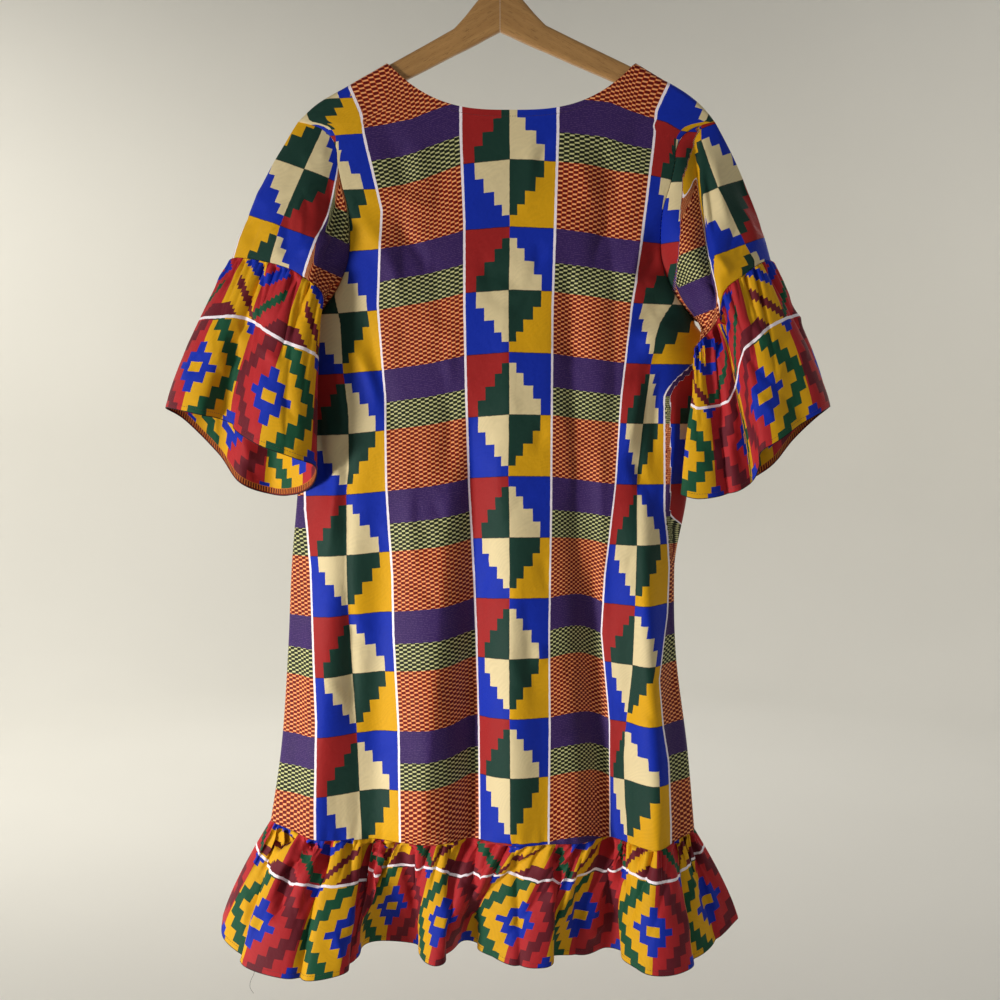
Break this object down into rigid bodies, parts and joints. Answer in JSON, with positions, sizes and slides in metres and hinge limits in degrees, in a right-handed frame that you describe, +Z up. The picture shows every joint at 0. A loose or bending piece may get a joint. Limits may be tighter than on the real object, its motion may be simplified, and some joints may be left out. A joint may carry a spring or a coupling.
{
  "type": "ankara wax print dress on a wooden clothes hanger",
  "caption": "Short shift dress in wax print cotton with gathered bell ruffles at the sleeves and a gathered ruffle round the hem, hung on a wooden hanger.",
  "frame": {"origin": "inside top of the hook, where the rail carries it", "axes": "+Z up, -Y towards the back of the dress (the side that shows in the picture), +Y towards its front, +X to the right of someone who looks at the back"},
  "size_m": [0.8422, 0.1462, 1.308],
  "materials": {
    "print_cloth": "wax print cotton: stepped diamonds in red, blue, yellow, green and cream beside strips of small checks, slight sheen",
    "border_cloth": "wax print cotton border: stepped diamonds on red and yellow under a white line, slight sheen",
    "wood": "clear varnish, satin",
    "steel": "bright plated wire"
  },
  "bodies": {
    "root": {"back_panel_upper_left": "print_cloth", "back_panel_upper_right": "print_cloth", "back_panel_middle_left": "print_cloth", "back_panel_middle_right": "print_cloth", "back_panel_lower_left": "print_cloth", "back_panel_lower_right": "print_cloth", "front_panel": "print_cloth", "sleeve_left": "print_cloth", "sleeve_right": "print_cloth", "sleeve_ruffle_left": "border_cloth", "sleeve_ruffle_right": "border_cloth", "hem_ruffle_back": "border_cloth", "hem_ruffle_front": "border_cloth", "hanger_arm_left": "wood", "hanger_arm_right": "wood", "hanger_hook": "steel"}
  },
  "joints": []
}
